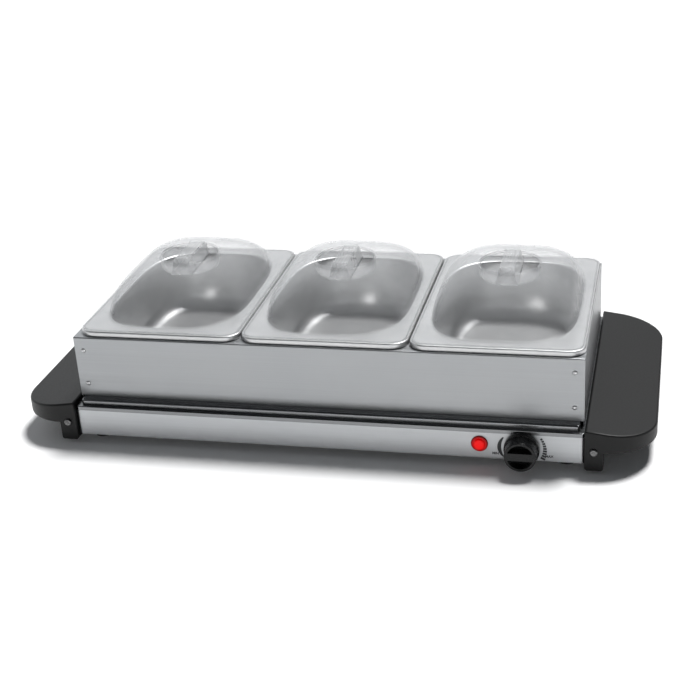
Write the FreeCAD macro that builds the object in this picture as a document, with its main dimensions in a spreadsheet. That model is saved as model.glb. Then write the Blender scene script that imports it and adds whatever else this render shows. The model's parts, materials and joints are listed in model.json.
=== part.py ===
"""Electric buffet server: a warming base, a lift-off buffet frame, three pans and three clear lids.

The origin is under the middle of the server, on the surface that its feet stand on.
+X runs to the right along the front, +Y to the back and +Z up.  All lengths are in millimetres.
"""
import FreeCAD
import Part
import Sketcher
import math
import os

SIZES = {
    # warming base
    "base_width": 480.0, "base_depth": 256.0, "knob_overhang": 18.0, "handle_overhang": 4.0,
    "foot_height": 7.0, "sheet": 1.0, "apron_height": 29.5, "lip_height": 4.0, "lip_step": 0.2,
    "base_corner": 3.0, "platform_inset": 4.5, "platform_rise": 5.0, "platform_round": 1.8,
    "ledge_round": 0.8, "apron_flange": 10.0, "vent_width": 4.0, "vent_length": 30.0,
    "vent_pitch": 14.0, "vent_row": 60.0, "vent_count": 12.0, "vent_corner": 1.6,
    # handles
    "handle_reach": 61.4, "handle_skirt_base": 13.5, "handle_inner_top": 34.5,
    "handle_outer_top": 26.0, "handle_corner": 45.0, "handle_wall": 3.0, "handle_edge": 2.0,
    "leg_width": 16.4, "leg_depth": 12.0, "leg_drop": 4.5, "leg_corner": 2.5, "leg_root": 12.0,
    "bracket_sheet": 1.5, "bracket_width": 13.0, "bracket_depth": 16.0, "bracket_height": 13.0,
    "bracket_rise": 7.5, "bracket_room": 0.5,
    "handle_screw_inset": 8.0, "handle_screw_rise": 14.0,
    # fasteners
    "screw_head": 3.5, "screw_head_height": 2.0, "screw_head_round": 1.2, "screw_slot_length": 4.0,
    "screw_slot_width": 1.0, "screw_slot_depth": 1.2, "screw_shank": 1.7, "screw_length": 16.0,
    "small_screw_length": 5.0, "rivet_head": 2.3, "rivet_head_height": 1.1, "rivet_shank": 1.5,
    # feet
    "foot_radius": 10.5, "foot_taper": 1.0, "foot_inset_x": 17.0, "foot_inset_y": 20.0,
    "foot_well": 4.2, "foot_web": 3.0, "nut_small_radius": 3.3, "nut_small_height": 2.4,
    # control knob and thermostat
    "knob_x": 185.0, "knob_rise": 12.2, "knob_radius": 16.0, "knob_gap": 1.0, "knob_skirt": 4.5,
    "knob_body_radius": 15.0, "knob_taper": 3.0, "knob_recess_radius": 11.6, "knob_recess": 10.5,
    "grip_height": 7.6, "knob_edge": 1.0, "knob_nut_room": 8.5, "knob_nut_depth": 3.4,
    "knob_bore": 11.0, "shaft_radius": 3.0, "shaft_play": 0.05, "shaft_depth": 12.0,
    "shaft_end_play": 0.5, "neck_radius": 4.0, "neck_proud": 0.6, "nut_radius": 6.4, "nut_height": 2.2,
    "thermostat_width": 25.0, "thermostat_height": 20.0, "thermostat_depth": 17.0,
    # indicator lamp
    "lamp_x": 147.0, "lamp_rise": 14.4, "lens_radius": 7.75, "lens_flange": 1.6, "lens_dome": 5.4,
    "lens_rise": 1.8, "lens_flange_round": 1.0, "lens_dome_round": 1.4,
    "lens_bore": 4.6, "lens_tube_length": 6.0, "lamp_hole": 6.2, "lamp_tube": 6.0,
    "lamp_case_length": 10.0, "neon_radius": 2.6, "neon_reach": 4.0, "clip_radius": 8.2,
    "clip_sheet": 0.8,
    # heating parts
    "tray_width": 430.0, "tray_depth": 166.0, "tray_height": 12.5, "tray_sheet": 0.8,
    "element_radius": 3.3, "element_half_run": 190.0, "element_half_depth": 52.0,
    "element_bend": 20.0, "element_ends": 20.0, "element_tail": 88.0, "bead_radius": 3.2,
    "bead_length": 9.0, "pin_radius": 1.3, "pin_length": 9.0, "clip_band": 8.0, "strap_wing": 5.0,
    "fuse_radius": 2.6, "fuse_length": 18.0, "fuse_gap": 10.0, "wire_radius": 1.2,
    "wire_bend": 4.0, "wire_floor": 5.0, "wire_lane": 8.0, "block_width": 34.0,
    "block_depth": 16.0, "block_height": 12.0, "block_inset": 50.0, "block_x": 160.0,
    "terminal_well": 2.4, "terminal_pitch": 10.0, "cord_x": 200.0, "bushing_hole": 7.2, "bushing_bore": 3.9,
    "bushing_flange": 9.4, "bushing_flange_sheet": 2.6, "bushing_inside": 10.0,
    # buffet frame
    "frame_width": 477.0, "frame_inset": 14.5, "frame_rise": 60.7, "seat_flange": 16.5, "bend_round": 1.5,
    "side_flange": 9.0, "tab_width": 14.0, "rivet_inset": 8.6, "rivet_low": 13.0, "rivet_high": 13.5,
    "divider_width": 12.0, "divider_web": 8.0,
    # pans
    "pan_pitch": 158.1, "row_shift": 1.8, "rim_width": 156.9, "rim_depth": 222.0, "rim_corner": 15.0,
    "rim_edge": 5.4, "rim_curl": 1.2, "rim_round": 1.0, "pan_sheet": 0.8, "mouth_width": 133.0,
    "mouth_depth": 190.0, "mouth_corner": 50.0, "pan_depth": 59.0, "pan_taper": 4.0,
    "pan_floor_round": 12.0,
    # lids
    "lid_sheet": 2.0, "flange_inset": 1.0, "flange_round": 0.6, "dome_play": 1.0, "dome_height": 36.5,
    "dome_round": 30.0, "finger_radius": 27.5, "finger_depth": 12.5,
    "bar_width": 15.0, "bar_rise": 2.4, "bar_overlap": 3.0,
}

doc = FreeCAD.newDocument("buffet_server")
sheet = doc.addObject("Spreadsheet::Sheet", "Sizes")
for row, (alias, number) in enumerate(SIZES.items(), start=1):
    sheet.set(f"A{row}", alias)
    sheet.set(f"B{row}", str(number))
    sheet.setAlias(f"B{row}", alias)
doc.recompute()


class Size:
    """A length with its value now and the rule that works it out from the sheet."""

    def __init__(self, value, rule):
        self.value = value
        self.rule = rule

    def combine(self, sign, other, swap=False):
        first, second = (as_size(other), self) if swap else (self, as_size(other))
        values = {
            "+": first.value + second.value,
            "-": first.value - second.value,
            "*": first.value * second.value,
        }
        value = first.value / second.value if sign == "/" else values[sign]
        return Size(value, f"({first.rule} {sign} {second.rule})")

    def __add__(self, other):
        return self.combine("+", other)

    def __radd__(self, other):
        return self.combine("+", other, swap=True)

    def __sub__(self, other):
        return self.combine("-", other)

    def __rsub__(self, other):
        return self.combine("-", other, swap=True)

    def __mul__(self, other):
        return self.combine("*", other)

    def __rmul__(self, other):
        return self.combine("*", other, swap=True)

    def __truediv__(self, other):
        return self.combine("/", other)

    def __neg__(self):
        return self.combine("*", -1)


def as_size(number):
    """A plain number as a Size, so that both can stand in one sum."""
    return number if isinstance(number, Size) else Size(float(number), f"{float(number)}")


class Cells:
    """Each cell of the sheet by its alias."""


S = Cells()
for alias, number in SIZES.items():
    setattr(S, alias, Size(number, f"Sizes.{alias}"))

# Levels and planes of the assembly.
FRONT = (S.knob_overhang - S.base_depth - S.handle_overhang) / 2
BACK = FRONT + S.base_depth
MIDDLE = FRONT + S.base_depth / 2
APRON_FOOT = S.foot_height + S.sheet
LEDGE = APRON_FOOT + S.apron_height
LIP_FOOT = LEDGE - S.lip_height
PLATFORM = LEDGE + S.platform_rise
PLATE_UNDERSIDE = PLATFORM - S.sheet
FRAME_FRONT = FRONT + S.frame_inset
FRAME_BACK = BACK - S.frame_inset
HEM = PLATFORM + S.frame_rise
RIM = HEM + S.rim_edge
LID_FLANGE = RIM + S.lid_sheet
HALF_BASE = S.base_width / 2
HALF_APRON = HALF_BASE - S.lip_step
APRON_FRONT = FRONT + S.lip_step
APRON_BACK = BACK - S.lip_step
HALF_FRAME = S.frame_width / 2
KNOB_Z = APRON_FOOT + S.knob_rise
LAMP_Z = APRON_FOOT + S.lamp_rise
ELEMENT_Z = PLATE_UNDERSIDE - S.element_radius
INNER_FRONT = APRON_FRONT + S.sheet

# Turns of a round piece that is drawn upright: its own +Z becomes the named direction.
UPRIGHT = FreeCAD.Rotation()
DOWNWARD = FreeCAD.Rotation(FreeCAD.Vector(1, 0, 0), 180)
FORWARD = FreeCAD.Rotation(FreeCAD.Vector(1, 0, 0), 90)
RIGHTWARD = FreeCAD.Rotation(FreeCAD.Vector(0, 1, 0), 90)
BACKWARD = FreeCAD.Rotation(FreeCAD.Vector(1, 0, 0), -90)

sub_parts = []


def bind(thing, **rules):
    """Set properties of a document object, each from a Size or a plain number."""
    for name, size in rules.items():
        thing.setExpression(name, as_size(size).rule)


def place(thing, x, y, z, turn=UPRIGHT):
    """Put an object at a point, turned as asked."""
    thing.Placement = FreeCAD.Placement(FreeCAD.Vector(0, 0, 0), turn)
    for letter, size in zip("xyz", (x, y, z)):
        thing.setExpression(f".Placement.Base.{letter}", as_size(size).rule)


def finish(thing, label):
    """Name an object as a sub-part of the server."""
    thing.Label = label
    sub_parts.append(thing)
    return thing


def block(name, low, high):
    """A box between its lowest and its highest corner."""
    box = doc.addObject("Part::Box", name)
    spans = [upper - lower for lower, upper in zip(map(as_size, low), high)]
    bind(box, Length=spans[0], Width=spans[1], Height=spans[2])
    place(box, *low)
    return box


def rod(name, foot, radius, length, turn=UPRIGHT):
    """A round bar that starts at foot and runs along the turned +Z."""
    bar = doc.addObject("Part::Cylinder", name)
    bind(bar, Radius=radius, Height=length)
    place(bar, *foot, turn)
    return bar


def join(name, *pieces):
    """Several shapes made into one."""
    union = doc.addObject("Part::MultiFuse", name)
    union.Shapes = list(pieces)
    union.Refine = True
    return union


def carve(name, base, *tools):
    """A shape with others taken out of it."""
    result = doc.addObject("Part::Cut", name)
    result.Base = base
    result.Tool = tools[0] if len(tools) == 1 else join(f"{name}_tools", *tools)
    result.Refine = True
    return result


def new_body(name):
    """An empty body."""
    return doc.addObject("PartDesign::Body", name)


def sketch_on(body, name, role, offset=0.0):
    """A sketch on a plane of the body's own origin, moved along that plane's normal."""
    sketch = body.newObject("Sketcher::SketchObject", name)
    plane = next(item for item in body.Origin.OriginFeatures if item.Role == role)
    sketch.AttachmentSupport = [(plane, "")]
    sketch.MapMode = "FlatFace"
    sketch.setExpression(".AttachmentOffset.Base.z", as_size(offset).rule)
    return sketch


def vertex_at(sketch, index, point):
    """Which end of an edge lies at a point: 1 for its start and 2 for its end."""
    spot = FreeCAD.Vector(point[0].value, point[1].value, 0)
    start_gap = (sketch.getPoint(index, 1) - spot).Length
    end_gap = (sketch.getPoint(index, 2) - spot).Length
    return 1 if start_gap < end_gap else 2


def rule_constraint(sketch, kind, *targets, size):
    """A dimension of a sketch that follows the sheet."""
    row = sketch.addConstraint(Sketcher.Constraint(kind, *targets, as_size(size).value))
    sketch.setExpression(f"Constraints[{row}]", as_size(size).rule)


def pin(sketch, index, vertex, point):
    """Fix one vertex at its distances from the sketch's own origin."""
    rule_constraint(sketch, "DistanceX", -1, 1, index, vertex, size=point[0])
    rule_constraint(sketch, "DistanceY", -1, 1, index, vertex, size=point[1])


def step_towards(start, goal, reach):
    """The point that lies reach from start on the upright or level line to goal."""
    across = goal[0].value - start[0].value
    along = goal[1].value - start[1].value
    if abs(across) > abs(along):
        return start[0] + reach * math.copysign(1, across), start[1]
    return start[0], start[1] + reach * math.copysign(1, along)


def outline(sketch, corners, closed=True):
    """Edges through corners (x, y), or (x, y, radius) where a square corner is rounded."""
    points = [(as_size(corner[0]), as_size(corner[1])) for corner in corners]
    stops = []
    for index, corner in enumerate(corners):
        if len(corner) == 2:
            stops.append((points[index], None, None))
            continue
        following = points[(index + 1) % len(points)]
        stops.append((step_towards(points[index], points[index - 1], corner[2]), corner[2], points[index]))
        stops.append((step_towards(points[index], following, corner[2]), None, None))
    first = sketch.GeometryCount
    edges = len(stops) if closed else len(stops) - 1
    for number in range(edges):
        start, radius, tip = stops[number]
        end = stops[(number + 1) % len(stops)][0]
        start_at, end_at = (FreeCAD.Vector(point[0].value, point[1].value, 0) for point in (start, end))
        if radius is None:
            sketch.addGeometry(Part.LineSegment(start_at, end_at), False)
        else:
            tip_at = FreeCAD.Vector(tip[0].value, tip[1].value, 0)
            centre = start_at + end_at - tip_at
            middle = centre + (tip_at - centre).normalize() * as_size(radius).value
            sketch.addGeometry(Part.Arc(start_at, middle, end_at), False)
    for number in range(edges):
        start, radius, tip = stops[number]
        index = first + number
        pin(sketch, index, vertex_at(sketch, index, start), start)
        if radius is not None:
            rule_constraint(sketch, "Radius", index, size=radius)
        if closed or number > 0:
            before = first + (number - 1) % edges
            ends = (before, vertex_at(sketch, before, start), index, vertex_at(sketch, index, start))
            sketch.addConstraint(Sketcher.Constraint("Coincident", *ends))
    if not closed:
        last = first + edges - 1
        pin(sketch, last, vertex_at(sketch, last, stops[-1][0]), stops[-1][0])


def circle(sketch, x, y, radius):
    """A circle with its centre at (x, y)."""
    x, y, radius = as_size(x), as_size(y), as_size(radius)
    ring = Part.Circle(FreeCAD.Vector(x.value, y.value, 0), FreeCAD.Vector(0, 0, 1), radius.value)
    index = sketch.addGeometry(ring, False)
    pin(sketch, index, 3, (x, y))
    rule_constraint(sketch, "Radius", index, size=radius)


def rectangle(x, y, half_width, half_depth, corner=None):
    """The corners of a level rectangle about (x, y), rounded where a corner radius is given."""
    spots = [
        (x - half_width, y - half_depth), (x + half_width, y - half_depth),
        (x + half_width, y + half_depth), (x - half_width, y + half_depth),
    ]
    return spots if corner is None else [(*spot, corner) for spot in spots]


def pad(body, sketch, length, backwards=False, taper=None):
    """Material along a sketch's normal, or against it."""
    feature = body.newObject("PartDesign::Pad", f"{sketch.Name}Pad")
    feature.Profile = sketch
    feature.Reversed = backwards
    bind(feature, Length=length)
    if taper is not None:
        bind(feature, TaperAngle=taper)
    return feature


def pocket(body, sketch, length, along_normal=False):
    """A hollow against a sketch's normal, or along it, which has to take material away."""
    doc.recompute()
    before = body.Shape.Volume
    feature = body.newObject("PartDesign::Pocket", f"{sketch.Name}Pocket")
    feature.Profile = sketch
    feature.Reversed = along_normal
    bind(feature, Length=length)
    doc.recompute()
    if body.Shape.Volume >= before:
        raise RuntimeError(f"{feature.Name} takes nothing away")
    return feature


def fillet(body, feature, edges, radius):
    """Rounds on named edges of a body's last feature."""
    rounded = body.newObject("PartDesign::Fillet", f"{feature.Name}Round")
    rounded.Base = (feature, edges)
    bind(rounded, Radius=radius)
    return rounded


def edges_where(feature, test):
    """The names of the edges whose bounding box passes a test."""
    doc.recompute()
    return [f"Edge{n}" for n, edge in enumerate(feature.Shape.Edges, start=1) if test(edge.BoundBox)]


def edges_at_level(feature, level):
    """The names of the edges that lie at one height."""
    height = as_size(level).value
    near = 0.01
    return edges_where(feature, lambda box: abs(box.ZMin - height) < near and abs(box.ZMax - height) < near)


def slab(name, corners, foot, height):
    """A body with one outline, padded up from a level."""
    body = new_body(name)
    sketch = sketch_on(body, f"{name}Outline", "XY_Plane", foot)
    outline(sketch, corners)
    pad(body, sketch, height)
    return body


def strip_along_y(name, corners, front, length):
    """A body with a section drawn across the server, running back from a plane."""
    body = new_body(name)
    sketch = sketch_on(body, f"{name}Section", "XZ_Plane", -as_size(front))
    outline(sketch, corners)
    pad(body, sketch, length, backwards=True)
    return body


def span(side, near, far):
    """The lower and the upper x of a stretch on one side of the middle plane."""
    return (near, far) if side > 0 else (-far, -near)


def group(name, shapes):
    """Separate solids held in one sub-part."""
    holder = doc.addObject("Part::Feature", name)
    holder.Shape = Part.makeCompound(shapes)
    return holder


def screw_shape(shank_length):
    """A pan-head screw with a cross recess: its head stands on the origin and its shank runs down."""
    up = FreeCAD.Vector(0, 0, 1)
    origin = FreeCAD.Vector(0, 0, 0)
    head_radius = S.screw_head.value
    head_height = S.screw_head_height.value
    head = Part.makeCylinder(head_radius, head_height, origin, up)
    rim = [edge for edge in head.Edges if abs(edge.BoundBox.ZMin - head_height) < 0.01]
    head = head.makeFillet(S.screw_head_round.value, rim)
    slot_length = S.screw_slot_length.value
    slot_width = S.screw_slot_width.value
    slot_depth = S.screw_slot_depth.value
    for length, width in ((slot_length, slot_width), (slot_width, slot_length)):
        corner = FreeCAD.Vector(-length / 2, -width / 2, head_height - slot_depth)
        head = head.cut(Part.makeBox(length, width, slot_depth, corner))
    return head.fuse(Part.makeCylinder(S.screw_shank.value, shank_length, origin, -up)).removeSplitter()


def rivet_shape(grip):
    """A dome-head rivet: its head stands on the origin, its shank runs down through the grip."""
    up = FreeCAD.Vector(0, 0, 1)
    origin = FreeCAD.Vector(0, 0, 0)
    base = S.rivet_head.value
    rise = S.rivet_head_height.value
    ball = (base * base + rise * rise) / (2 * rise)
    head = Part.makeSphere(ball, FreeCAD.Vector(0, 0, rise - ball))
    head = head.common(Part.makeBox(2 * ball, 2 * ball, rise, FreeCAD.Vector(-ball, -ball, 0)))
    shank = Part.makeCylinder(S.rivet_shank.value, grip, origin, -up)
    return head.fuse(shank).removeSplitter()


def copies(shape, spots, turn):
    """A shape put at each of some points, turned the same way."""
    placed = []
    for x, y, z in spots:
        copy = shape.copy()
        copy.Placement = FreeCAD.Placement(FreeCAD.Vector(x.value, y.value, z.value), turn)
        placed.append(copy)
    return placed


def corner_spots(half_width, front, back, z):
    """Four points: both sides at the front plane, then both sides at the back plane."""
    z = as_size(z)
    return [(side * half_width, y, z) for y in (front, back) for side in (-1, 1)]


# ---------------------------------------------------------------- warming base

def make_warming_plate():
    """The pressed steel top: a raised platform, a ledge around it and a lip over the apron."""
    body = new_body("WarmingPlate")
    ledge = sketch_on(body, "Ledge", "XY_Plane", LIP_FOOT)
    outline(ledge, rectangle(0, MIDDLE, HALF_BASE, S.base_depth / 2, S.base_corner))
    ledge_pad = pad(body, ledge, S.lip_height)
    fillet(body, ledge_pad, edges_at_level(ledge_pad, LEDGE), S.ledge_round)
    platform = sketch_on(body, "Platform", "XY_Plane", LEDGE - S.sheet)
    half_width = HALF_BASE - S.platform_inset
    half_depth = S.base_depth / 2 - S.platform_inset
    outline(platform, rectangle(0, MIDDLE, half_width, half_depth, S.base_corner))
    platform_pad = pad(body, platform, S.platform_rise + S.sheet)
    fillet(body, platform_pad, edges_at_level(platform_pad, PLATFORM), S.platform_round)
    under_ledge = sketch_on(body, "UnderLedge", "XY_Plane", LIP_FOOT)
    outline(under_ledge, rectangle(0, MIDDLE, HALF_BASE - S.sheet, S.base_depth / 2 - S.sheet))
    pocket(body, under_ledge, S.lip_height - S.sheet, along_normal=True)
    under_platform = sketch_on(body, "UnderPlatform", "XY_Plane", LEDGE - S.sheet)
    outline(under_platform, rectangle(0, MIDDLE, half_width - S.sheet, half_depth - S.sheet))
    pocket(body, under_platform, S.platform_rise, along_normal=True)
    return finish(body, "warming_plate")


def bottom_screw_spots(z):
    """Where the bottom plate is screwed to the apron's flange."""
    inset = S.sheet + S.apron_flange / 2
    third = S.base_width / 3
    spots = corner_spots(third, APRON_FRONT + inset, APRON_BACK - inset, z)
    return spots + [(side * (HALF_APRON - inset), MIDDLE, as_size(z)) for side in (-1, 1)]


def foot_spots(z):
    """The four feet."""
    return corner_spots(HALF_BASE - S.foot_inset_x, FRONT + S.foot_inset_y, BACK - S.foot_inset_y, z)


def make_base_apron():
    """The steel band around the base, with a flange turned in at its foot."""
    body = new_body("BaseApron")
    half_depth = S.base_depth / 2 - S.lip_step
    band = sketch_on(body, "Band", "XY_Plane", APRON_FOOT)
    outline(band, rectangle(0, MIDDLE, HALF_APRON, half_depth, S.base_corner))
    outline(band, rectangle(0, MIDDLE, HALF_APRON - S.sheet, half_depth - S.sheet, S.base_corner - S.sheet))
    pad(body, band, S.apron_height - S.lip_height)
    flange = sketch_on(body, "Flange", "XY_Plane", APRON_FOOT)
    inner = S.sheet + S.apron_flange
    outline(flange, rectangle(0, MIDDLE, HALF_APRON - S.sheet, half_depth - S.sheet, S.base_corner - S.sheet))
    outline(flange, rectangle(0, MIDDLE, HALF_APRON - inner, half_depth - inner))
    pad(body, flange, S.sheet)
    front_holes = sketch_on(body, "FrontHoles", "XZ_Plane", -APRON_FRONT)
    circle(front_holes, S.knob_x, KNOB_Z, S.neck_radius)
    circle(front_holes, S.lamp_x, LAMP_Z, S.lamp_hole)
    pocket(body, front_holes, S.sheet)
    cord_hole = sketch_on(body, "CordHole", "XZ_Plane", -(APRON_BACK - S.sheet))
    circle(cord_hole, S.cord_x, KNOB_Z, S.bushing_hole)
    pocket(body, cord_hole, S.sheet)
    screw_holes = sketch_on(body, "FlangeHoles", "XY_Plane", APRON_FOOT)
    for x, y, z in bottom_screw_spots(0):
        circle(screw_holes, x, y, S.screw_shank)
    pocket(body, screw_holes, S.sheet, along_normal=True)
    return finish(body, "base_apron")


def make_bottom_plate():
    """The steel plate that closes the base from below, with two rows of vent slots."""
    body = slab(
        "BottomPlate", rectangle(0, MIDDLE, HALF_APRON - S.sheet, S.base_depth / 2 - 2 * S.sheet),
        S.foot_height, S.sheet,
    )
    for number, y in enumerate((MIDDLE - S.vent_row, MIDDLE + S.vent_row)):
        slot = sketch_on(body, f"Vent{number}", "XY_Plane", S.foot_height)
        start = -(S.vent_count - 1) * S.vent_pitch / 2
        outline(slot, rectangle(start, y, S.vent_width / 2, S.vent_length / 2, S.vent_corner))
        cut = pocket(body, slot, S.sheet, along_normal=True)
        row = body.newObject("PartDesign::LinearPattern", f"VentRow{number}")
        row.Originals = [cut]
        row.Direction = (slot, ["H_Axis"])
        bind(row, Length=(S.vent_count - 1) * S.vent_pitch, Occurrences=S.vent_count)
        body.Tip = row
        doc.recompute()
    holes = sketch_on(body, "PlateHoles", "XY_Plane", S.foot_height)
    for x, y, z in bottom_screw_spots(0) + foot_spots(0):
        circle(holes, x, y, S.screw_shank)
    pocket(body, holes, S.sheet, along_normal=True)
    return finish(body, "bottom_plate")


def make_feet():
    """Four rubber feet, each with a well for its screw, the screws and their nuts."""
    soles = []
    well_depth = S.foot_height - S.foot_web
    for number, (x, y, z) in enumerate(foot_spots(0)):
        foot = doc.addObject("Part::Cone", f"Foot{number}")
        bind(foot, Radius1=S.foot_radius - S.foot_taper, Radius2=S.foot_radius, Height=S.foot_height)
        place(foot, x, y, 0)
        well = rod(f"FootWell{number}", (x, y, 0), S.foot_well, well_depth)
        bore = rod(f"FootBore{number}", (x, y, 0), S.screw_shank, S.foot_height)
        soles.append(carve(f"FootSole{number}", foot, well, bore))
    feet = doc.addObject("Part::Compound", "Feet")
    feet.Links = soles
    finish(feet, "rubber_feet")
    length = S.foot_web + S.sheet + S.nut_small_height
    screws = copies(screw_shape(length.value), foot_spots(well_depth), DOWNWARD)
    finish(group("FootScrews", screws), "foot_screws")
    finish(group("FootNuts", copies(small_nut_shape(), foot_spots(APRON_FOOT), UPRIGHT)), "foot_nuts")


def small_nut_shape():
    """A hexagon nut that stands on the origin, bored for a screw's shank."""
    return hexagon_nut(S.nut_small_radius.value, S.nut_small_height.value, S.screw_shank.value)


def hexagon_nut(radius, height, bore):
    """A hexagon prism over its outer radius, with a round bore."""
    corners = [
        FreeCAD.Vector(radius * math.cos(math.radians(60 * n)), radius * math.sin(math.radians(60 * n)), 0)
        for n in range(7)
    ]
    prism = Part.Face(Part.makePolygon(corners)).extrude(FreeCAD.Vector(0, 0, height))
    return prism.cut(Part.makeCylinder(bore, height))


def make_bottom_screws():
    """The screws that hold the bottom plate to the apron."""
    screw = screw_shape(S.small_screw_length.value)
    finish(group("BottomScrews", copies(screw, bottom_screw_spots(S.foot_height), DOWNWARD)), "bottom_screws")


# ---------------------------------------------------------------- handles

def handle_block(name, side, inset, foot):
    """A handle's outer form, or its hollow when it is set in: a wedge with large rounded corners."""
    inner_x = side * (HALF_BASE + inset)
    outer_x = side * (HALF_BASE + S.handle_reach - inset)
    section = [
        (inner_x, foot), (inner_x, APRON_FOOT + S.handle_inner_top - inset),
        (outer_x, APRON_FOOT + S.handle_outer_top - inset), (outer_x, foot),
    ]
    front = FRONT - S.handle_overhang + inset
    depth = S.base_depth + 2 * S.handle_overhang - 2 * inset
    body = strip_along_y(name, section, front, depth)
    near = 0.01
    edge_x = outer_x.value
    uprights = edges_where(
        body.Tip,
        lambda box: abs(box.XMin - edge_x) < near and abs(box.XMax - edge_x) < near and box.YLength < near,
    )
    fillet(body, body.Tip, uprights, S.handle_corner - inset)
    doc.recompute()
    return body


def round_top_face(body, radius):
    """Rounds around the sloping top face of a handle."""
    tip = body.Tip
    top = max(tip.Shape.Faces, key=lambda face: face.CenterOfMass.z)
    names = [
        f"Edge{number}" for number, edge in enumerate(tip.Shape.Edges, start=1)
        if any(edge.isSame(other) for other in top.Edges)
    ]
    fillet(body, tip, names, radius)


def leg(name, side, front):
    """A leg at one end of a handle, with rounded lower corners."""
    low, high = span(side, HALF_BASE, HALF_BASE + S.leg_width)
    foot = APRON_FOOT - S.leg_drop
    head = APRON_FOOT + S.handle_skirt_base + S.leg_root
    section = [(low, foot, S.leg_corner), (high, foot, S.leg_corner), (high, head), (low, head)]
    return strip_along_y(name, section, front, S.leg_depth)


def bracket_box(side, front, inner, reach, depth, room=0.0):
    """The corners of a box beside the apron, at the height of the handle brackets."""
    low, high = span(side, inner, inner + reach)
    foot = APRON_FOOT + S.bracket_rise - room
    return (low, front, foot), (high, front + depth, foot + S.bracket_height + 2 * room)


def make_handle(side, label):
    """One handle: a hollow moulded wedge with a leg at each end, open below for the fingers."""
    name = "RightHandle" if side > 0 else "LeftHandle"
    skirt = APRON_FOOT + S.handle_skirt_base
    outer = handle_block(f"{name}Outer", side, as_size(0), skirt)
    round_top_face(outer, S.handle_edge)
    core = handle_block(f"{name}Core", side, S.handle_wall, skirt - S.handle_wall)
    shell = carve(f"{name}Shell", outer, core)
    front_face = FRONT - S.handle_overhang
    back_face = BACK + S.handle_overhang
    screw_x = side * (HALF_BASE + S.handle_screw_inset)
    screw_z = APRON_FOOT + S.handle_screw_rise
    legs = [
        leg(f"{name}FrontLeg", side, front_face),
        leg(f"{name}BackLeg", side, back_face - S.leg_depth),
    ]
    bores = [
        rod(f"{name}FrontBore", (screw_x, front_face, screw_z), S.screw_shank, S.leg_depth, BACKWARD),
        rod(f"{name}BackBore", (screw_x, back_face, screw_z), S.screw_shank, S.leg_depth, FORWARD),
    ]
    room = S.bracket_room
    depth = S.bracket_depth + room
    wall = S.handle_wall
    slots = [
        block(f"{name}FrontSlot",
              *bracket_box(side, front_face + S.leg_depth, HALF_BASE, wall, depth, room)),
        block(f"{name}BackSlot",
              *bracket_box(side, back_face - S.leg_depth - depth, HALF_BASE, wall, depth, room)),
    ]
    return finish(carve(name, join(f"{name}Whole", shell, *legs), *bores, *slots), label)


def make_handle_brackets():
    """Four steel angles on the apron's sides, one inside each leg, which the handle screws bite into."""
    angles = []
    for side in (-1, 1):
        screw_x = side * (HALF_BASE + S.handle_screw_inset)
        screw_z = APRON_FOOT + S.handle_screw_rise
        for end in (-1, 1):
            name = f"Bracket{'Left' if side < 0 else 'Right'}{'Front' if end < 0 else 'Back'}"
            leg_face = FRONT - S.handle_overhang + S.leg_depth
            tab_front = leg_face
            foot_front = leg_face
            if end > 0:
                leg_face = BACK + S.handle_overhang - S.leg_depth
                tab_front = leg_face - S.bracket_sheet
                foot_front = leg_face - S.bracket_depth
            sheet_size = S.bracket_sheet
            foot_box = bracket_box(side, foot_front, HALF_APRON, sheet_size, S.bracket_depth)
            foot = block(f"{name}Foot", *foot_box)
            tab = block(f"{name}Tab", *bracket_box(side, tab_front, HALF_APRON, S.bracket_width, sheet_size))
            hole = rod(f"{name}Hole", (screw_x, tab_front, screw_z), S.screw_shank, sheet_size, BACKWARD)
            angles.append(carve(name, join(f"{name}Angle", foot, tab), hole))
    brackets = doc.addObject("Part::Compound", "HandleBrackets")
    brackets.Links = angles
    finish(brackets, "handle_brackets")


def make_handle_screws():
    """The four screws that hold the handles, two at the front and two at the back."""
    screw = screw_shape(S.screw_length.value)
    reach = HALF_BASE + S.handle_screw_inset
    height = APRON_FOOT + S.handle_screw_rise
    spots = corner_spots(reach, FRONT - S.handle_overhang, BACK + S.handle_overhang, height)
    solids = copies(screw, spots[:2], FORWARD) + copies(screw, spots[2:], BACKWARD)
    finish(group("HandleScrews", solids), "handle_screws")


# ---------------------------------------------------------------- heating parts

def make_reflector_tray():
    """A shallow tray under the platform that holds the heat of the element."""
    foot = PLATE_UNDERSIDE - S.tray_height
    half_width = S.tray_width / 2
    half_depth = S.tray_depth / 2
    body = slab("ReflectorTray", rectangle(0, MIDDLE, half_width, half_depth), foot, S.tray_height)
    hollow = sketch_on(body, "TrayHollow", "XY_Plane", PLATE_UNDERSIDE)
    outline(hollow, rectangle(0, MIDDLE, half_width - S.tray_sheet, half_depth - S.tray_sheet))
    pocket(body, hollow, S.tray_height - S.tray_sheet)
    notches = []
    for side in (-1, 1):
        x = side * S.element_ends
        reach = S.element_radius + S.bracket_room
        low = (x - reach, MIDDLE - half_depth, ELEMENT_Z - reach)
        high = (x + reach, MIDDLE - half_depth + S.tray_sheet, PLATE_UNDERSIDE)
        notches.append(block(f"TrayNotch{'Left' if side < 0 else 'Right'}", low, high))
    return finish(carve("Tray", body, *notches), "reflector_tray")


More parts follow.
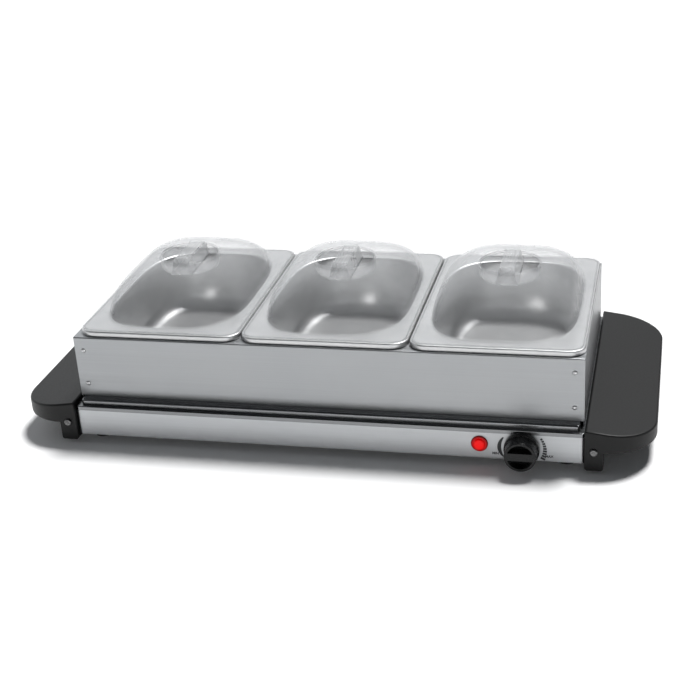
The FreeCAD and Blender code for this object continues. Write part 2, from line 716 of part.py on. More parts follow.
def make_heating_element():
    """A sheathed rod bent into a long loop, with both ends at the front."""
    ends, half_run, half_depth = S.element_ends, S.element_half_run, S.element_half_depth
    tail, bend = MIDDLE - S.element_tail, S.element_bend
    near, far = MIDDLE - half_depth, MIDDLE + half_depth
    body = new_body("HeatingElement")
    spine = sketch_on(body, "ElementRoute", "XY_Plane", ELEMENT_Z)
    outline(spine, [
        (-ends, tail), (-ends, near, bend), (-half_run, near, bend), (-half_run, far, bend),
        (half_run, far, bend), (half_run, near, bend), (ends, near, bend), (ends, tail),
    ], closed=False)
    section = sketch_on(body, "ElementSection", "XZ_Plane", -tail)
    circle(section, -ends, ELEMENT_Z, S.element_radius)
    doc.recompute()
    tube = body.newObject("PartDesign::AdditivePipe", "ElementTube")
    tube.Profile = section
    tube.Spine = (spine, [f"Edge{n}" for n in range(1, spine.GeometryCount + 1)])
    return finish(body, "heating_element")


def make_element_straps():
    """Four steel straps that hold the element against the underside of the platform."""
    straps = []
    wall = S.tray_sheet
    reach = S.element_radius + wall
    wing = reach + S.strap_wing
    for number, (side_x, side_y) in enumerate(((-1, -1), (1, -1), (-1, 1), (1, 1))):
        x = side_x * S.element_half_run / 2
        y = MIDDLE + side_y * S.element_half_depth
        half_band = S.clip_band / 2
        cover = block(f"StrapCover{number}", (x - half_band, y - reach, ELEMENT_Z - reach),
                      (x + half_band, y + reach, PLATE_UNDERSIDE))
        wings = block(f"StrapWings{number}", (x - half_band, y - wing, PLATE_UNDERSIDE - wall),
                      (x + half_band, y + wing, PLATE_UNDERSIDE))
        tube = rod(f"StrapTube{number}", (x - half_band, y, ELEMENT_Z), S.element_radius,
                   S.clip_band, RIGHTWARD)
        seat = block(f"StrapSeat{number}", (x - half_band, y - S.element_radius, ELEMENT_Z),
                     (x + half_band, y + S.element_radius, PLATE_UNDERSIDE))
        straps.append(carve(f"Strap{number}", join(f"StrapWhole{number}", cover, wings), tube, seat))
    holder = doc.addObject("Part::Compound", "ElementStraps")
    holder.Links = straps
    finish(holder, "element_straps")


def make_element_ends():
    """A ceramic bead and a connecting pin on each end of the element."""
    tail = MIDDLE - S.element_tail
    beads, pins = [], []
    for number, side in enumerate((-1, 1)):
        x = side * S.element_ends
        bead = rod(f"Bead{number}", (x, tail, ELEMENT_Z), S.bead_radius, S.bead_length, FORWARD)
        bore = rod(f"BeadBore{number}", (x, tail, ELEMENT_Z), S.pin_radius, S.bead_length, FORWARD)
        beads.append(carve(f"BeadRing{number}", bead, bore))
        length = S.bead_length + S.pin_length
        pins.append(rod(f"Pin{number}", (x, tail, ELEMENT_Z), S.pin_radius, length, FORWARD))
    for name, label, solids in (("Beads", "element_beads", beads), ("Pins", "element_pins", pins)):
        holder = doc.addObject("Part::Compound", name)
        holder.Links = solids
        finish(holder, label)


def make_thermostat():
    """The thermostat behind the front apron, its nut outside, and the shaft that the knob turns."""
    half_width, half_height = S.thermostat_width / 2, S.thermostat_height / 2
    case = block("ThermostatCase", (S.knob_x - half_width, INNER_FRONT, KNOB_Z - half_height),
                 (S.knob_x + half_width, INNER_FRONT + S.thermostat_depth, KNOB_Z + half_height))
    neck_end = APRON_FRONT - S.nut_height - S.neck_proud
    neck_length = INNER_FRONT - neck_end
    neck = rod("ThermostatNeck", (S.knob_x, neck_end, KNOB_Z), S.neck_radius, neck_length, BACKWARD)
    bore_length = INNER_FRONT + S.shaft_depth - neck_end
    bore = rod("ThermostatBore", (S.knob_x, neck_end, KNOB_Z), S.shaft_radius + S.shaft_play,
               bore_length, BACKWARD)
    finish(carve("Thermostat", join("ThermostatWhole", case, neck), bore), "thermostat")
    nut = hexagon_nut(S.nut_radius.value, S.nut_height.value, S.neck_radius.value)
    spot = (S.knob_x, APRON_FRONT, KNOB_Z)
    finish(group("ThermostatNut", copies(nut, [spot], FORWARD)), "thermostat_nut")
    knob_back = FRONT - S.knob_gap
    shaft_front = knob_back - S.knob_bore
    shaft = rod("Shaft", (S.knob_x, shaft_front, KNOB_Z), S.shaft_radius,
                INNER_FRONT + S.shaft_depth - S.shaft_end_play - shaft_front, BACKWARD)
    finish(shaft, "thermostat_shaft")


def make_control_knob():
    """The round knob: a skirt, a tapered barrel and a grip bar between two deep hollows."""
    depth = S.knob_overhang - S.knob_gap
    body = new_body("KnobBody")
    skirt = sketch_on(body, "KnobSkirt", "XY_Plane")
    circle(skirt, 0, 0, S.knob_radius)
    skirt_pad = pad(body, skirt, S.knob_skirt)
    fillet(body, skirt_pad, edges_at_level(skirt_pad, S.knob_skirt), S.knob_edge)
    barrel = sketch_on(body, "KnobBarrel", "XY_Plane")
    circle(barrel, 0, 0, S.knob_body_radius)
    barrel_pad = pad(body, barrel, depth, taper=-S.knob_taper)
    fillet(body, barrel_pad, edges_at_level(barrel_pad, depth), S.knob_edge)
    nut_room = sketch_on(body, "NutRoom", "XY_Plane")
    circle(nut_room, 0, 0, S.knob_nut_room)
    pocket(body, nut_room, S.knob_nut_depth, along_normal=True)
    bore = sketch_on(body, "KnobBore", "XY_Plane")
    circle(bore, 0, 0, S.shaft_radius)
    pocket(body, bore, S.knob_bore, along_normal=True)
    hollow = rod("KnobHollow", (0, 0, depth - S.knob_recess), S.knob_recess_radius, S.knob_recess)
    half_grip = S.grip_height / 2
    grip = block("KnobGrip", (-S.knob_radius, -half_grip, 0), (S.knob_radius, half_grip, depth))
    knob = carve("Knob", body, carve("KnobHollows", hollow, grip))
    place(knob, S.knob_x, FRONT - S.knob_gap, KNOB_Z, FORWARD)
    return finish(knob, "control_knob")


def make_indicator():
    """The indicator lamp: a red lens, its holder, the neon bulb and the clip behind the apron."""
    body = new_body("IndicatorLens")
    flange = sketch_on(body, "LensFlange", "XY_Plane")
    circle(flange, 0, 0, S.lens_radius)
    flange_pad = pad(body, flange, S.lens_flange)
    fillet(body, flange_pad, edges_at_level(flange_pad, S.lens_flange), S.lens_flange_round)
    dome = sketch_on(body, "LensDome", "XY_Plane", S.lens_flange)
    circle(dome, 0, 0, S.lens_dome)
    dome_pad = pad(body, dome, S.lens_rise)
    fillet(body, dome_pad, edges_at_level(dome_pad, S.lens_flange + S.lens_rise), S.lens_dome_round)
    tube = sketch_on(body, "LensTube", "XY_Plane")
    circle(tube, 0, 0, S.lamp_tube)
    pad(body, tube, S.lens_tube_length, backwards=True)
    bore = sketch_on(body, "LensBore", "XY_Plane", -S.lens_tube_length)
    circle(bore, 0, 0, S.lens_bore)
    pocket(body, bore, S.lens_tube_length, along_normal=True)
    place(body, S.lamp_x, APRON_FRONT, LAMP_Z, FORWARD)
    finish(body, "indicator_lens")
    start = APRON_FRONT + S.lens_tube_length
    case = rod("LampCase", (S.lamp_x, start, LAMP_Z), S.lamp_tube, S.lamp_case_length, BACKWARD)
    socket = rod("LampSocket", (S.lamp_x, start, LAMP_Z), S.neon_radius, S.lamp_case_length / 2, BACKWARD)
    finish(carve("LampHolder", case, socket), "indicator_holder")
    bulb_length = S.lamp_case_length / 2 + S.neon_reach
    bulb = rod("NeonBulb", (S.lamp_x, start - S.neon_reach, LAMP_Z), S.neon_radius, bulb_length, BACKWARD)
    finish(bulb, "indicator_neon")
    ring = rod("ClipRing", (S.lamp_x, INNER_FRONT, LAMP_Z), S.clip_radius, S.clip_sheet, BACKWARD)
    hole = rod("ClipHole", (S.lamp_x, INNER_FRONT, LAMP_Z), S.lamp_tube, S.clip_sheet, BACKWARD)
    finish(carve("LampClip", ring, hole), "indicator_clip")


def make_terminal_block():
    """A two-row terminal block on the bottom plate."""
    half_width = S.block_width / 2
    y = BACK - S.block_inset
    low = (S.block_x - half_width, y - S.block_depth / 2, APRON_FOOT)
    high = (S.block_x + half_width, y + S.block_depth / 2, APRON_FOOT + S.block_height)
    base = block("TerminalBase", low, high)
    wells = []
    for column in (-1, 0, 1):
        for row in (-1, 1):
            spot = (S.block_x + column * S.terminal_pitch, y + row * S.block_depth / 4,
                    APRON_FOOT + S.block_height / 2)
            wells.append(rod(f"TerminalWell{column + 1}{row + 1}", spot, S.terminal_well, S.block_height / 2))
    finish(carve("TerminalBlock", base, *wells), "terminal_block")


def make_thermal_fuse():
    """The thermal fuse, beside the right end of the element."""
    fuse = rod("ThermalFuse", (S.element_ends + S.fuse_gap, fuse_y(), ELEMENT_Z), S.fuse_radius,
               S.fuse_length, RIGHTWARD)
    finish(fuse, "thermal_fuse")


def fuse_y():
    """The plane just in front of the element's pins, where their leads run."""
    return MIDDLE - S.element_tail - S.bead_length - S.pin_length - S.wire_radius


def make_cord_bushing():
    """The nylon bushing in the back of the apron where a supply cord comes out."""
    outside = rod("BushingFlange", (S.cord_x, APRON_BACK, KNOB_Z), S.bushing_flange,
                  S.bushing_flange_sheet, BACKWARD)
    inside_end = APRON_BACK - S.sheet - S.bushing_inside
    length = S.sheet + S.bushing_inside + S.bushing_flange_sheet
    sleeve = rod("BushingSleeve", (S.cord_x, inside_end, KNOB_Z), S.bushing_hole, length, BACKWARD)
    bore = rod("BushingBore", (S.cord_x, inside_end, KNOB_Z), S.bushing_bore, length, BACKWARD)
    finish(carve("CordBushing", join("BushingWhole", outside, sleeve), bore), "cord_bushing")


def wire_shape(points, bend):
    """A lead that runs through points in straight stretches joined by tangent arcs."""
    spots = [FreeCAD.Vector(*(as_size(size).value for size in point)) for point in points]
    edges = []
    start = spots[0]
    for before, corner, after in zip(spots, spots[1:], spots[2:]):
        arrive = (corner - before).normalize()
        leave = (after - corner).normalize()
        turn = arrive.getAngle(leave)
        reach = bend * math.tan(turn / 2)
        entry = corner - arrive * reach
        departure = corner + leave * reach
        inward = (leave - arrive).normalize()
        middle = corner + inward * (bend / math.cos(turn / 2) - bend)
        edges.append(Part.makeLine(start, entry))
        edges.append(Part.Arc(entry, middle, departure).toShape())
        start = departure
    edges.append(Part.makeLine(start, spots[-1]))
    route = Part.Wire(edges)
    ring = Part.Wire(Part.makeCircle(S.wire_radius.value, spots[0], spots[1] - spots[0]))
    return route.makePipeShell([ring], True, True)


def make_internal_wires():
    """The leads between the terminal block, thermostat, lamp, fuse and element."""
    floor = APRON_FOOT + S.wire_floor
    block_front = BACK - S.block_inset - S.block_depth / 2
    case_back = INNER_FRONT + S.thermostat_depth
    lamp_back = APRON_FRONT + S.lens_tube_length + S.lamp_case_length
    lane = case_back + S.wire_lane
    column = S.terminal_pitch
    element_y = fuse_y()
    turn_z = ELEMENT_Z - 2 * S.wire_lane
    fuse_end = S.element_ends + S.fuse_gap + S.fuse_length
    low_lead = KNOB_Z - S.wire_lane / 2
    left_lamp_x = S.lamp_x - S.wire_radius * 2
    right_lamp_x = S.lamp_x + S.wire_radius * 2
    earth_x = S.block_x + 3 * column
    routes = [
        # live: terminal block to thermostat
        [(S.block_x, block_front, floor), (S.block_x, MIDDLE, floor),
         (S.knob_x, MIDDLE - 3 * S.wire_lane, floor), (S.knob_x, case_back, floor)],
        # switched live: thermostat to thermal fuse
        [(S.knob_x - column, case_back, KNOB_Z), (S.knob_x - column, lane, KNOB_Z),
         (fuse_end + 2 * S.wire_lane, lane, KNOB_Z), (fuse_end + 2 * S.wire_lane, element_y, ELEMENT_Z),
         (fuse_end, element_y, ELEMENT_Z)],
        # fuse to the right pin
        [(S.element_ends + S.fuse_gap, element_y, ELEMENT_Z), (S.element_ends, element_y, ELEMENT_Z)],
        # neutral: left pin to terminal block
        [(-S.element_ends, element_y, ELEMENT_Z), (-S.element_ends, element_y, floor),
         (-S.element_ends, MIDDLE, floor), (S.block_x - column, MIDDLE + 3 * S.wire_lane, floor),
         (S.block_x - column, block_front, floor)],
        # lamp leads
        [(right_lamp_x, lamp_back, LAMP_Z), (right_lamp_x, lane, LAMP_Z),
         (S.knob_x - column, lane, low_lead), (S.knob_x - column, case_back, low_lead)],
        [(left_lamp_x, lamp_back, LAMP_Z), (left_lamp_x, lane + S.wire_lane, LAMP_Z),
         (left_lamp_x, MIDDLE - 4 * S.wire_lane, floor)],
        # earth: terminal block to the tag on the bottom plate
        [(S.block_x + column, block_front, floor), (S.block_x + column, block_front - 3 * S.wire_lane, floor),
         (earth_x, block_front - 3 * S.wire_lane, floor)],
    ]
    solids = [wire_shape(points, S.wire_bend.value) for points in routes]
    finish(group("InternalWires", solids), "internal_wires")


# ---------------------------------------------------------------- buffet frame

def make_frame_panel(name, label, face, inward):
    """The front or back panel: a flat sheet, bent in at its top into the flange that the pans stand on."""
    metal = S.sheet

    def at(offset):
        return face + inward * offset

    body = new_body(f"{name}Sheet")
    section = sketch_on(body, f"{name}Section", "YZ_Plane", -HALF_FRAME)
    outline(section, [
        (at(0), PLATFORM), (at(0), HEM, S.bend_round), (at(S.seat_flange), HEM),
        (at(S.seat_flange), HEM - metal), (at(metal), HEM - metal, S.bend_round - metal),
        (at(metal), PLATFORM),
    ])
    pad(body, section, S.frame_width)
    holes = []
    for number, (x, y, z) in enumerate(rivet_spots(face)):
        start = y if inward > 0 else y - metal
        holes.append(rod(f"{name}RivetHole{number}", (x, start, z), S.rivet_shank, metal, BACKWARD))
    return finish(carve(name, body, *holes), label)


def rivet_spots(face):
    """Two rivets at each end of a panel."""
    reach = HALF_FRAME - S.rivet_inset
    heights = (PLATFORM + S.rivet_low, HEM - S.rivet_high)
    return [(side * reach, face, z) for side in (-1, 1) for z in heights]


def make_side_panel(side, label):
    """A side panel with a flange at its top and a riveted tab behind each end panel."""
    name = "RightPanel" if side > 0 else "LeftPanel"
    metal = S.sheet
    front, back = FRAME_FRONT + metal, FRAME_BACK - metal
    low, high = span(side, HALF_FRAME - metal, HALF_FRAME)
    bend = S.bend_round - metal
    wall = block(f"{name}Wall", (low, front + bend, LEDGE), (high, back - bend, HEM - metal))
    low, high = span(side, HALF_FRAME - S.side_flange, HALF_FRAME)
    flange = block(f"{name}Flange", (low, FRAME_FRONT + S.seat_flange, HEM - metal),
                   (high, FRAME_BACK - S.seat_flange, HEM))
    low, high = span(side, HALF_FRAME - S.tab_width, HALF_FRAME)
    tab_top = HEM - 2 * metal
    front_tab = block(f"{name}FrontTab", (low, front, PLATFORM), (high, front + metal, tab_top))
    back_tab = block(f"{name}BackTab", (low, back - metal, PLATFORM), (high, back, tab_top))
    holes = []
    for face, start in ((FRAME_FRONT, front), (FRAME_BACK, back - metal)):
        for x, y, z in rivet_spots(face):
            if x.value * side > 0:
                holes.append(rod(f"{name}Hole{len(holes)}", (x, start, z), S.rivet_shank, metal, BACKWARD))
    whole = join(f"{name}Whole", wall, flange, front_tab, back_tab)
    return finish(carve(name, whole, *holes), label)


def make_frame_rivets():
    """The dome-head rivets that hold the panels together."""
    rivet = rivet_shape(2 * S.sheet.value)
    front = copies(rivet, rivet_spots(FRAME_FRONT), FORWARD)
    back = copies(rivet, rivet_spots(FRAME_BACK), BACKWARD)
    finish(group("FrameRivets", front + back), "frame_rivets")


def make_divider(side, label):
    """A T-shaped cross rail between two pans, with its ends under the seat flanges."""
    x = S.row_shift + side * S.pan_pitch / 2
    metal = S.sheet
    top = HEM - metal
    half_flange, half_web = S.divider_width / 2, metal / 2
    foot = top - metal - S.divider_web
    section = [
        (x - half_flange, top), (x + half_flange, top), (x + half_flange, top - metal),
        (x + half_web, top - metal), (x + half_web, foot), (x - half_web, foot),
        (x - half_web, top - metal), (x - half_flange, top - metal),
    ]
    room = 2 * metal
    front = FRAME_FRONT + room
    length = S.base_depth - 2 * (S.frame_inset + room)
    name = "RightDivider" if side > 0 else "LeftDivider"
    return finish(strip_along_y(name, section, front, length), label)


# ---------------------------------------------------------------- pans and lids

def basin(name, x, inset, foot):
    """The tapered form of a pan's well, from the rim down to a level."""
    body = new_body(name)
    sketch = sketch_on(body, f"{name}Mouth", "XY_Plane", RIM)
    half_width, half_depth = S.mouth_width / 2 - inset, S.mouth_depth / 2 - inset
    outline(sketch, rectangle(x, MIDDLE, half_width, half_depth, S.mouth_corner - inset))
    well = pad(body, sketch, RIM - foot, backwards=True, taper=-S.pan_taper)
    fillet(body, well, edges_at_level(well, foot), S.pan_floor_round - inset)
    return body


def make_pan(place_name, number):
    """A drawn steel pan: a flat rim with its edge turned down, and a tapered well."""
    x = S.row_shift + number * S.pan_pitch
    name = f"{place_name.capitalize()}Pan"
    rim = new_body(f"{name}Rim")
    edge = sketch_on(rim, f"{name}Edge", "XY_Plane", HEM)
    half_width, half_depth = S.rim_width / 2, S.rim_depth / 2
    outline(edge, rectangle(x, MIDDLE, half_width, half_depth, S.rim_corner))
    edge_pad = pad(rim, edge, S.rim_edge)
    fillet(rim, edge_pad, edges_at_level(edge_pad, RIM), S.rim_round)
    under = sketch_on(rim, f"{name}UnderRim", "XY_Plane", HEM)
    curl = S.rim_curl
    outline(under, rectangle(x, MIDDLE, half_width - curl, half_depth - curl, S.rim_corner - curl))
    pocket(rim, under, S.rim_edge - S.pan_sheet, along_normal=True)
    floor = RIM - S.pan_depth
    outer = basin(f"{name}Outer", x, as_size(0) - S.pan_sheet, floor)
    inner = basin(f"{name}Inner", x, as_size(0), floor + S.pan_sheet)
    return finish(carve(name, join(f"{name}Whole", rim, outer), inner), f"pan_{place_name}")


def dome(name, x, inset, foot):
    """A lid's dome, or its hollow when it is set in, with the round finger recess in its top."""
    top = LID_FLANGE + S.dome_height - inset
    half_width = S.mouth_width / 2 + S.dome_play - inset
    half_depth = S.mouth_depth / 2 + S.dome_play - inset
    corners = rectangle(x, MIDDLE, half_width, half_depth, S.mouth_corner + S.dome_play - inset)
    body = slab(name, corners, foot, top - foot)
    fillet(body, body.Tip, edges_at_level(body.Tip, top), S.dome_round - inset)
    recess = sketch_on(body, f"{name}Recess", "XY_Plane", top)
    circle(recess, x, MIDDLE, S.finger_radius + inset)
    pocket(body, recess, S.finger_depth)
    return body


def make_lid(place_name, number):
    """A clear moulded lid: a flat flange, a hollow dome and a grip bar across its finger recess."""
    x = S.row_shift + number * S.pan_pitch
    name = f"{place_name.capitalize()}Lid"
    inset = S.flange_inset
    flange = slab(
        f"{name}Flange",
        rectangle(x, MIDDLE, S.rim_width / 2 - inset, S.rim_depth / 2 - inset, S.rim_corner - inset),
        RIM, S.lid_sheet,
    )
    fillet(flange, flange.Tip, edges_at_level(flange.Tip, LID_FLANGE), S.flange_round)
    outer = dome(f"{name}Outer", x, as_size(0), RIM)
    core = dome(f"{name}Core", x, S.lid_sheet, RIM)
    shell = carve(f"{name}Shell", join(f"{name}Solid", flange, outer), core)
    top = LID_FLANGE + S.dome_height
    half_bar = S.bar_width / 2
    wall_middle = S.finger_radius + S.lid_sheet / 2
    web = block(f"{name}Web", (x - half_bar, MIDDLE - wall_middle, top - S.finger_depth),
                (x + half_bar, MIDDLE + wall_middle, top))
    cap_reach = S.finger_radius + S.bar_overlap
    cap = new_body(f"{name}Cap")
    side_view = sketch_on(cap, f"{name}CapSide", "YZ_Plane", x - half_bar)
    outline(side_view, [
        (MIDDLE - cap_reach, top - S.lid_sheet / 2), (MIDDLE + cap_reach, top - S.lid_sheet / 2),
        (MIDDLE + cap_reach, top + S.bar_rise, S.bar_rise),
        (MIDDLE - cap_reach, top + S.bar_rise, S.bar_rise),
    ])
    pad(cap, side_view, S.bar_width)
    return finish(join(name, shell, web, cap), f"lid_{place_name}")


# ---------------------------------------------------------------- assembly

make_warming_plate()
make_base_apron()
make_bottom_plate()
make_feet()
make_bottom_screws()
for side, side_name in ((-1, "left"), (1, "right")):
    make_handle(side, f"{side_name}_handle")
make_handle_brackets()
make_handle_screws()
make_reflector_tray()
make_heating_element()
make_element_straps()
make_element_ends()
make_thermostat()
make_control_knob()
make_indicator()
make_terminal_block()
make_thermal_fuse()
make_cord_bushing()
make_internal_wires()
make_frame_panel("FrontPanel", "frame_front_panel", FRAME_FRONT, 1)
make_frame_panel("BackPanel", "frame_back_panel", FRAME_BACK, -1)
for side, side_name in ((-1, "left"), (1, "right")):
    make_side_panel(side, f"frame_{side_name}_panel")
    make_divider(side, f"frame_divider_{side_name}")
make_frame_rivets()
for number, place_name in ((-1, "left"), (0, "middle"), (1, "right")):
    make_pan(place_name, number)
    make_lid(place_name, number)

doc.recompute()
faults = [f"{thing.Name}: {thing.State}" for thing in doc.Objects if {"Invalid", "Error"} & set(thing.State)]
for thing in sub_parts:
    if thing.Shape.isNull() or not thing.Shape.isValid() or not thing.Shape.Solids:
        faults.append(f"{thing.Label}: bad shape")
if faults:
    raise RuntimeError("; ".join(faults))

os.makedirs("parts", exist_ok=True)
for thing in sub_parts:
    thing.Shape.exportStep(f"parts/{thing.Label}.step")
    print(f"{thing.Label}: {len(thing.Shape.Solids)} solids, {thing.Shape.Volume:.0f} mm3")
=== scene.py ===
"""Looks of the electric buffet server: steel warming base, buffet frame, pans, clear lids and controls.

Lengths are in metres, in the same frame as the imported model.
"""
import json
import math

import bmesh
import bpy
from mathutils import Matrix, Vector


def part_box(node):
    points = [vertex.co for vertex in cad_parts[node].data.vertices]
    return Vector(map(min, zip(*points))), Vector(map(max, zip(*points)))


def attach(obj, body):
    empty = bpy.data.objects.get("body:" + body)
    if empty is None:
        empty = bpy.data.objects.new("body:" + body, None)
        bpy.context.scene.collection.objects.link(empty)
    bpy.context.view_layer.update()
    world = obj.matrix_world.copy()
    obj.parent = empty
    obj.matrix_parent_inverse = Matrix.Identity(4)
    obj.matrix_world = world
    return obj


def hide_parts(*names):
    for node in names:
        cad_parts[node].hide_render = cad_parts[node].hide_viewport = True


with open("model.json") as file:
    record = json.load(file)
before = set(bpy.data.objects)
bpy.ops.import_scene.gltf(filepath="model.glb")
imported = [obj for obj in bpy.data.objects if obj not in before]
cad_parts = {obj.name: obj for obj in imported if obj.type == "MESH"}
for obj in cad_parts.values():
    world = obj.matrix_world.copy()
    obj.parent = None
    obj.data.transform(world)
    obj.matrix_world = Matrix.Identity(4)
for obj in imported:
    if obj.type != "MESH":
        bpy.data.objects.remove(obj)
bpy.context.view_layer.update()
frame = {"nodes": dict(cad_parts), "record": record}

MM = 0.001
SIDES = ("left", "middle", "right")


# ---------------------------------------------------------------- node helpers

class Shader:
    """A material being built: its node tree, with short ways to add and join nodes."""

    def __init__(self, name):
        self.material = bpy.data.materials.new(name)
        self.material.use_nodes = True
        self.tree = self.material.node_tree
        self.principled = self.tree.nodes["Principled BSDF"]
        self.output = self.tree.nodes["Material Output"]
        self.place = self.add("ShaderNodeTexCoord").outputs["Object"]

    def add(self, kind, **settings):
        node = self.tree.nodes.new(kind)
        for key, value in settings.items():
            setattr(node, key, value)
        return node

    def join(self, source, target):
        self.tree.links.new(source, target)

    def fixed(self, **values):
        """Constants on the Principled shader's own sockets."""
        for key, value in values.items():
            self.principled.inputs[key.replace("_", " ")].default_value = value

    def noise(self, stretch, detail=3.0, roughness=0.5):
        """Noise whose cells are 1/stretch metres long on each axis."""
        mapping = self.add("ShaderNodeMapping")
        mapping.inputs["Scale"].default_value = stretch
        self.join(self.place, mapping.inputs["Vector"])
        noise = self.add("ShaderNodeTexNoise")
        noise.inputs["Scale"].default_value = 1.0
        noise.inputs["Detail"].default_value = detail
        noise.inputs["Roughness"].default_value = roughness
        self.join(mapping.outputs["Vector"], noise.inputs["Vector"])
        return noise.outputs["Fac"]

    def ramp(self, source, low, high, start=0.3, end=0.7):
        """A grey or colour ramp between two values over part of a factor's range."""
        node = self.add("ShaderNodeValToRGB")
        for element, position, value in zip(node.color_ramp.elements, (start, end), (low, high)):
            element.position = position
            element.color = value if len(value) == 4 else (*value, 1.0)
        self.join(source, node.inputs["Fac"])
        return node.outputs["Color"]

    def spread(self, source, low, high, start=0.3, end=0.7):
        """A number that goes from low to high over part of a factor's range."""
        node = self.add("ShaderNodeMapRange")
        for key, value in (("From Min", start), ("From Max", end), ("To Min", low), ("To Max", high)):
            node.inputs[key].default_value = value
        self.join(source, node.inputs["Value"])
        return node.outputs["Result"]

    def mixed(self, factor, first, second):
        """A colour mix of two sockets by a factor socket."""
        node = self.add("ShaderNodeMix", data_type="RGBA")
        self.join(factor, node.inputs[0])
        self.join(first, node.inputs[6])
        self.join(second, node.inputs[7])
        return node.outputs[2]

    def bump(self, source, distance, strength=1.0, normal=None):
        """Fine relief whose height is distance metres."""
        node = self.add("ShaderNodeBump")
        node.inputs["Distance"].default_value = distance
        node.inputs["Strength"].default_value = strength
        self.join(source, node.inputs["Height"])
        if normal is not None:
            self.join(normal, node.inputs["Normal"])
        return node.outputs["Normal"]

    def colour(self, socket):
        self.join(socket, self.principled.inputs["Base Color"])

    def roughness(self, socket):
        self.join(socket, self.principled.inputs["Roughness"])

    def normal(self, socket):
        self.join(socket, self.principled.inputs["Normal"])


def grey(value, warmth=0.0):
    """A near-neutral colour, bluer below zero warmth."""
    return (value * (1 + warmth), value, value * (1 - warmth))


# ---------------------------------------------------------------- materials

def brushed_steel(name, tone, rough, line_axis="x", depth=0.000006):
    """Steel with fine straight brushing along one axis, faint blotches and a few longer scratches."""
    shader = Shader(name)
    along, across = 6.0, 2600.0
    stretch = {
        "x": (along, across, across), "y": (across, along, across), "z": (across, across, along),
    }[line_axis]
    coarse_stretch = tuple(value * 0.3 for value in stretch)
    lines = shader.noise(stretch, detail=2.0)
    bands = shader.noise(coarse_stretch, detail=3.0)
    blotches = shader.noise((9.0, 9.0, 9.0), detail=2.0)
    light = shader.ramp(lines, grey(tone * 0.93, -0.03), grey(tone * 1.05, -0.024))
    cloudy = shader.ramp(blotches, grey(tone * 0.965, -0.03), grey(tone * 1.03, -0.018))
    shader.colour(shader.mixed(bands, light, cloudy))
    shader.roughness(shader.spread(bands, rough - 0.05, rough + 0.06))
    shader.normal(shader.bump(lines, depth, 0.5, shader.bump(bands, depth * 2, 0.4)))
    shader.fixed(Metallic=1.0)
    return shader.material


def drawn_steel(name, tone, rough):
    """Bright pressed steel: satin, with faint drawing marks and soft unevenness."""
    shader = Shader(name)
    waves = shader.noise((26.0, 26.0, 26.0), detail=2.0)
    grain = shader.noise((1500.0, 1500.0, 1500.0), detail=2.0)
    blotches = shader.noise((60.0, 60.0, 60.0), detail=4.0, roughness=0.6)
    shader.colour(shader.ramp(blotches, grey(tone * 0.95, -0.01), grey(tone * 1.04, -0.004)))
    shader.roughness(shader.spread(grain, rough - 0.05, rough + 0.07))
    shader.normal(shader.bump(grain, 0.000004, 0.4, shader.bump(waves, 0.00025, 0.25)))
    shader.fixed(Metallic=1.0)
    return shader.material


def plated_steel(name, tone, warmth=0.0, rough=0.38):
    """Zinc, nickel or brass plate with spangled patches."""
    shader = Shader(name)
    cells = shader.add("ShaderNodeTexVoronoi")
    cells.inputs["Scale"].default_value = 170.0
    shader.join(shader.place, cells.inputs["Vector"])
    grain = shader.noise((900.0, 900.0, 900.0))
    shader.colour(shader.ramp(cells.outputs["Distance"], grey(tone * 0.82, warmth), grey(tone * 1.08, warmth),
                              0.0, 0.8))
    shader.roughness(shader.spread(grain, rough - 0.08, rough + 0.12))
    shader.normal(shader.bump(grain, 0.00001, 0.4))
    shader.fixed(Metallic=1.0)
    return shader.material


def grained_plastic(name, tone, rough=0.46, cell=1100.0, relief=0.00006, gloss=0.5):
    """Moulded plastic with a fine leathery grain."""
    shader = Shader(name)
    grain = shader.noise((cell, cell, cell), detail=4.0, roughness=0.62)
    blotches = shader.noise((30.0, 30.0, 30.0), detail=3.0)
    dark = shader.ramp(grain, grey(tone * 0.75, -0.04), grey(tone * 1.25, -0.05))
    worn = shader.ramp(blotches, grey(tone * 0.88, -0.05), grey(tone * 1.15, -0.03))
    shader.colour(shader.mixed(blotches, dark, worn))
    shader.roughness(shader.spread(grain, rough - 0.07, rough + 0.09))
    shader.normal(shader.bump(grain, relief, 0.35))
    shader.fixed(Specular_IOR_Level=gloss)
    return shader.material


def smooth_plastic(name, colour, rough=0.2, coat=0.0, gloss=0.5):
    """Glossy moulded plastic with slight flow marks."""
    shader = Shader(name)
    flow = shader.noise((45.0, 45.0, 18.0), detail=3.0)
    specks = shader.noise((1300.0, 1300.0, 1300.0), detail=2.0)
    low = tuple(value * 0.86 for value in colour)
    high = tuple(min(1.0, value * 1.12) for value in colour)
    shader.colour(shader.ramp(flow, low, high))
    shader.roughness(shader.spread(specks, rough - 0.05, rough + 0.07))
    shader.normal(shader.bump(specks, 0.000012, 0.3))
    shader.fixed(Coat_Weight=coat, Coat_Roughness=0.08, Specular_IOR_Level=gloss)
    return shader.material


